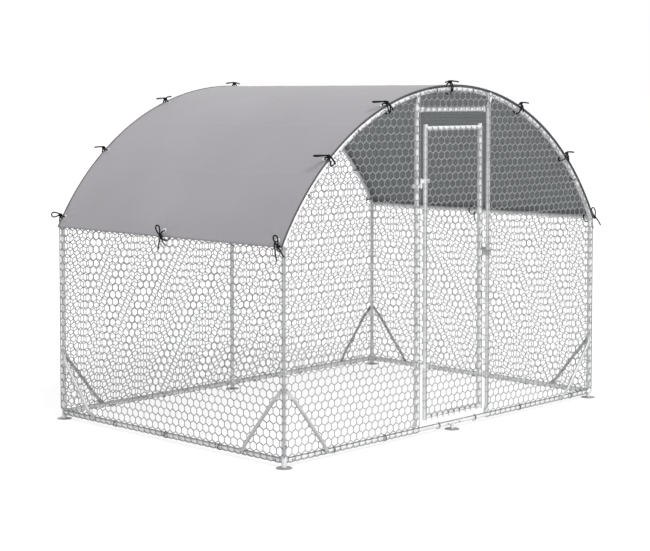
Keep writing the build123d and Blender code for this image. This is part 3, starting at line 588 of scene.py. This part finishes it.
# ------------------------------------------------------------------ roof: how the sheets lie between the arches
def sag(ang, y):
    """How far the cover hangs inside its arch, between the tubes that carry it."""
    ridge = 1.0 - exp(-((ang / 9.0) ** 2))
    eave = 1.0 - exp(-(((abs(ang) - EAVE) / 7.0) ** 2))
    s = max(0.0, 1.0 - (y / 0.945) ** 2)
    return 0.007 * ridge * eave * s**0.75


def roof_map(p):
    ang = p[:, 1] / ROOF_NET
    r = ROOF_NET + p[:, 2] - 0.8 * np.array([sag(degrees(a), y) for a, y in zip(ang, p[:, 0])])
    return np.stack([r * np.sin(ang), p[:, 0], ARCH_ZC + r * np.cos(ang)], axis=1)


half_v = radians(60.8) * ROOF_NET
net = Net()
for p in strands(-HY - 0.006, HY + 0.006, -half_v, half_v, 8, (0.0, 0.5, 1.0), False):
    p = p[(p[:, 1] > -half_v) & (p[:, 1] < half_v)]
    net.wire(roof_map(p), 0.0019 * p[:, 3], Y_UP)
net.make("wire_roof", "netting_roof")

# ------------------------------------------------------------------ tie routes
FRONT_OVER = -HY - COVER_Y[0]
REAR_OVER = COVER_Y[1] - HY
HEM_OVER = radians(COVER_END - EAVE) * COVER_OUT


def tie_route(o, n, e, t, over, loop, wide, tail_a, tail_b, slide=0.0, drop=0.0):
    """Route points of one tie in millimetres, from the tip of tail a to the tip of tail b.
    o is the tube's centre; loop, wide, tail_a and tail_b are world vectors from
    the knot: to the loop's end, half across the loop, and to the tails' tips.
    slide is how far the knot stands along t from the strands round the tube, and
    drop how far it hangs over the cover's edge."""
    def at(a, b, c, f=0.0):
        return tuple(o[i] + a * n[i] + b * e[i] + (c + f * slide) * t[i] for i in range(3))

    k = at(33.0, over - 9.0 + drop, 0.0, 1.0)
    ll = sqrt(sum(v * v for v in loop))
    ww = sqrt(sum(v * v for v in wide))

    def bow(f, w, dn):
        """A point f along the loop and w (in half widths) across it."""
        return tuple(k[i] + f * loop[i] + w * wide[i] + dn * n[i] for i in range(3))

    def tail(v, f, dn=0.0, de=0.0, dt=0.0, back=0.0):
        return tuple(k[i] + f * v[i] + dn * n[i] + de * e[i] + (dt - back * slide) * t[i] for i in range(3))

    turn = 1.0 - 0.74 * ww / ll
    return [
        tail(tail_a, 1.0, dt=-5),
        tail(tail_a, 0.82, de=2, dt=-8),
        tail(tail_a, 0.63, de=5, dt=-9, back=0.12),
        tail(tail_a, 0.42, de=8, dt=-9, back=0.34),
        at(29, over + 11, -8.5, 0.38),
        at(37.5, over, -7, 0.18),
        at(38, over - 14, -6.5, 0.05),
        at(32, 0.45 * (over - 16) - 10, -5),
        at(20.5, -18.5, -4),
        at(4, -26.5, -3),
        at(-13, -26, -1.5),
        at(-27, -12, 0),
        at(-29, 5, 1.5),
        at(-20.5, 0.5 * over + 14, 3),
        at(-5, 0.85 * over + 15.5, 4),
        at(12, over + 14, 6, 0.08),
        at(28, over + 11, 7.5, 0.25),
        at(40, over + 0.5, 6.5, 0.55),
        bow(0.14, 0.35, 10),
        bow(0.36, 0.80, 10),
        bow(0.62, 1.0, 8),
        bow(turn, 1.0, 6),
        bow(1.0, 0.45, 5),
        bow(1.0, -0.45, 5),
        bow(turn, -1.0, 6),
        bow(0.62, -1.0, 10),
        bow(0.36, -0.80, 12),
        bow(0.14, -0.35, 15),
        bow(-0.12, 0.15, 14),
        tail(tail_b, 0.34, dn=11, de=4, dt=3),
        tail(tail_b, 0.58, dn=7, de=6, dt=3),
        tail(tail_b, 0.80, dn=3, de=5, dt=2),
        tail(tail_b, 1.0),
    ]


def arch_tie(deg, gable, side, long_b=False, loop=(66.0, 3.0, 5.0), upright=False):
    """A tie round an arch: side is -1 or 1, the way its loop points along X, and
    loop is its reach that way, outwards and upwards.  An upright loop stands on edge."""
    e = (0, gable, 0)
    n = (sin(radians(deg)), 0, cos(radians(deg)))
    t = (-side * cos(radians(deg)), 0, side * sin(radians(deg)))
    o = (1580.0 * sin(radians(deg)), gable * 945.0, 411.0 + 1580.0 * cos(radians(deg)))
    over = 1000 * (FRONT_OVER if gable < 0 else REAR_OVER)
    loop = (side * loop[0], gable * loop[1], loop[2])
    flat = 14.0 / sqrt(loop[0] ** 2 + loop[1] ** 2)
    wide = (0.0, 2.0, 14.0) if upright else (gable * side * loop[1] * flat, -gable * side * loop[0] * flat, 2.0)
    tail_a = (side * -6.0, gable * 20.0, -46.0)
    rise = 54.0 * tan(radians(abs(deg)))
    tail_b = (side * -54.0, gable * 8.0, 4.0 + rise) if long_b else (side * -26.0, gable * 24.0, -36.0)
    return (o, n, e, t, over, loop, wide, tail_a, tail_b, 0.0, 8.0 if gable < 0 else 5.0)


def hem_tie(side, y, slide=0.0):
    """A tie round an eave purlin."""
    a = radians(EAVE)
    n = (side * sin(a), 0, cos(a))
    e = (side * cos(a), 0, -sin(a))
    t = (0, -1, 0)
    o = (side * 1385.0, y, 1000 * EAVE_Z)
    loop = (side * 10.0, 20.0, 58.0)
    wide = (side * 2.3, 13.2, -3.5)
    tail_a = (side * 9.0, 6.0, -74.0)
    tail_b = (side * 8.0, -46.0, -48.0)
    return (o, n, e, t, 1000 * HEM_OVER, loop, wide, tail_a, tail_b, slide, 10.0)


TIES = [
    hem_tie(-1, -917.0, 34.0),
    arch_tie(-41.2, -1, -1, loop=(80.0, -28.0, 4.0)),
    arch_tie(-21.8, -1, -1, loop=(80.0, -28.0, 4.0)),
    arch_tie(-1.7, -1, 1, long_b=True),
    arch_tie(22.8, -1, 1),
    arch_tie(43.2, -1, 1),
    hem_tie(1, -917.0, 34.0),
    hem_tie(-1, -10.0),
    hem_tie(1, 24.0),
    arch_tie(-59.4, 1, -1, upright=True),
    arch_tie(-41.0, 1, -1),
    arch_tie(-20.4, 1, -1, long_b=True),
    arch_tie(1.3, 1, -1, long_b=True),
    arch_tie(21.5, 1, 1),
    arch_tie(41.5, 1, 1),
    arch_tie(59.4, 1, 1, upright=True),
]


def curve_object(name, pts, radius, mat, cyclic=False):
    cu = bpy.data.curves.new(name, "CURVE")
    cu.dimensions = "3D"
    cu.bevel_depth = radius
    cu.bevel_resolution = 2
    cu.use_fill_caps = True
    cu.resolution_u = 6
    sp = cu.splines.new("NURBS")
    sp.points.add(len(pts) - 1)
    for p, q in zip(sp.points, pts):
        p.co = (*q, 1.0)
    sp.order_u = 3
    if cyclic:
        sp.use_cyclic_u = True
    else:
        sp.use_endpoint_u = True
    cu.materials.append(mat)
    ob = bpy.data.objects.new(name, cu)
    scene.collection.objects.link(ob)
    return ob


TIE_LENGTH = {}
eye_points = []
for i, spec in enumerate(TIES, 1):
    route = tie_route(*spec)
    pts = [tuple(c / 1000 for c in p) for p in route]
    tie = curve_object(f"tie_{i:02d}", pts, CORD / 2, CORD_MAT)
    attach(tie, "frame")
    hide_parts("cover_ties")
    # a small pulled-tight knot where the strands cross
    o, n, e, t = (Vector(v) for v in spec[:4])
    slide, drop = spec[9:]
    kc = (o + n * 39.0 + e * (spec[4] - 7.0 + drop) + t * slide) / 1000
    knot_pts = []
    for s in range(30):
        a = 2 * pi * s / 30
        kx, ky, kz = sin(a) + 2 * sin(2 * a), cos(a) - 2 * cos(2 * a), -sin(3 * a)
        knot_pts.append(tuple(kc + (n * kz * 4.4 + e * kx * 2.9 + t * ky * 3.2) / 1000))
    knot = curve_object(f"tie_knot_{i:02d}", knot_pts, CORD / 2 * 0.96, CORD_MAT, cyclic=True)
    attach(knot, "frame")

# ------------------------------------------------------------------ cover
eyes = nodes["cover_eyelets"].data
ev = np.empty(len(eyes.vertices) * 3, np.float32)
eyes.vertices.foreach_get("co", ev)
ev = ev.reshape(-1, 3)
# the eyelets' middles, from the CAD rings: clusters of vertices
left_over = list(range(len(ev)))
eyelet_centres = []
while left_over:
    c0 = ev[left_over[0]]
    d = np.linalg.norm(ev[left_over] - c0, axis=1)
    group = [left_over[k] for k in np.where(d < 0.03)[0]]
    eyelet_centres.append((ev[group].max(0) + ev[group].min(0)) / 2)
    left_over = [k for k in left_over if k not in set(group)]
eye_ang = [degrees(atan2(c[0], c[2] - ARCH_ZC)) for c in eyelet_centres]
eye_y = [float(c[1]) for c in eyelet_centres]


def cover_radius(ang, y):
    """The cover's middle surface: taut over the tubes, a little slack between
    them, with faint puckers running in from the eyelets and soft folds."""
    r = (COVER_IN + COVER_OUT) / 2 - sag(ang, y)
    # soft folds left from being folded flat, in a loose grid
    for fa in (-46.0, -31.0, -15.5, 15.5, 31.0, 46.0):
        r += 0.0009 * exp(-((ang - fa - 0.5 * sin(7 * y)) / 0.55) ** 2)
    for fy in (-0.48, 0.0, 0.48):
        r += 0.0009 * exp(-((y - fy - 0.006 * sin(radians(ang) * 9)) / 0.014) ** 2)
    for ca, cy in zip(eye_ang, eye_y):
        da, dy = (ang - ca) * radians(1.0) * COVER_OUT, y - cy
        d = sqrt(da * da + dy * dy)
        if d < 0.22:
            th = atan2(dy, da)
            r += 0.0016 * exp(-((d - 0.05) / 0.055) ** 2) * sin(7 * th + ca)
    return r


NA, NYY = 290, 166
angs = np.linspace(-COVER_END, COVER_END, NA + 1)
ys = np.linspace(COVER_Y[0] + BINDING - 0.001, COVER_Y[1] - BINDING + 0.001, NYY + 1)
T = 0.0011
verts = []
for a in angs:
    for y in ys:
        r = cover_radius(float(a), float(y))
        verts.append((r, a, y))
grid = np.array(verts).reshape(NA + 1, NYY + 1, 3)


def polar(r, a, y):
    return (r * sin(radians(a)), y, ARCH_ZC + r * cos(radians(a)))


bm = bmesh.new()
uv_layer = bm.loops.layers.uv.new("cloth")
top = [[None] * (NYY + 1) for _ in range(NA + 1)]
bot = [[None] * (NYY + 1) for _ in range(NA + 1)]
for i in range(NA + 1):
    for j in range(NYY + 1):
        r, a, y = grid[i, j]
        top[i][j] = bm.verts.new(polar(r + T / 2, a, y))
        bot[i][j] = bm.verts.new(polar(r - T / 2, a, y))


def cloth_uv(a, y):
    return (radians(a) * COVER_OUT, y)


def face(vs, uvs_):
    f = bm.faces.new(vs)
    f.smooth = True
    for l, u in zip(f.loops, uvs_):
        l[uv_layer].uv = u
    return f


for i in range(NA):
    for j in range(NYY):
        u = [cloth_uv(angs[i], ys[j]), cloth_uv(angs[i + 1], ys[j]), cloth_uv(angs[i + 1], ys[j + 1]), cloth_uv(angs[i], ys[j + 1])]
        face([top[i][j], top[i + 1][j], top[i + 1][j + 1], top[i][j + 1]], u)
        face([bot[i][j + 1], bot[i + 1][j + 1], bot[i + 1][j], bot[i][j]], u[::-1]).material_index = 1
for i in range(NA):
    for j, flip in ((0, False), (NYY, True)):
        vs = [top[i + 1][j], top[i][j], bot[i][j], bot[i + 1][j]]
        u = [cloth_uv(angs[i + 1], ys[j]), cloth_uv(angs[i], ys[j])]
        face(vs[::-1] if flip else vs, (u + u[::-1])[::-1] if flip else u + u[::-1])
for j in range(NYY):
    for i, flip in ((0, False), (NA, True)):
        vs = [top[i][j], top[i][j + 1], bot[i][j + 1], bot[i][j]]
        u = [cloth_uv(angs[i], ys[j]), cloth_uv(angs[i], ys[j + 1])]
        face(vs[::-1] if flip else vs, (u + u[::-1])[::-1] if flip else u + u[::-1])
me = bpy.data.meshes.new("cover_sheet")
bm.normal_update()
bm.to_mesh(me)
bm.free()
me.materials.append(COVER_MAT)
me.materials.append(LINING_MAT)
cover = bpy.data.objects.new("cover_sheet", me)
scene.collection.objects.link(cover)
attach(cover, "frame")
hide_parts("cover")

# ------------------------------------------------------------------ floor, light
floor_mat, nt, b = new_material("floor")
fc = add(nt, "ShaderNodeTexCoord").outputs["Object"]
nt.links.new(ramp(nt, noise(nt, fc, 3.0), [(0.3, (0.19, 0.19, 0.19)), (0.7, (0.21, 0.21, 0.21))]), b.inputs["Base Color"])
b.inputs["Roughness"].default_value = 0.9
b.inputs["Specular IOR Level"].default_value = 0.0
b.inputs["Emission Color"].default_value = (1.0, 1.0, 1.0, 1.0)
b.inputs["Emission Strength"].default_value = 0.8
floor = mesh_object("floor", [(-60, -60, 0), (60, -60, 0), (60, 60, 0), (-60, 60, 0)], [(0, 1, 2, 3)], floor_mat, False)

world = bpy.data.worlds.new("studio")
world.use_nodes = True
bg = world.node_tree.nodes["Background"]
bg.inputs["Color"].default_value = (1.0, 1.0, 1.0, 1.0)
bg.inputs["Strength"].default_value = 1.0
scene.world = world


sun = bpy.data.lights.new("key", "SUN")
sun.energy = 3.25
sun.angle = radians(25.0)
key = bpy.data.objects.new("key", sun)
scene.collection.objects.link(key)
key.rotation_mode = "QUATERNION"
key.rotation_quaternion = Vector((0.15, 0.64, -0.755)).to_track_quat("-Z", "Y")
scene.view_settings.view_transform = "Standard"
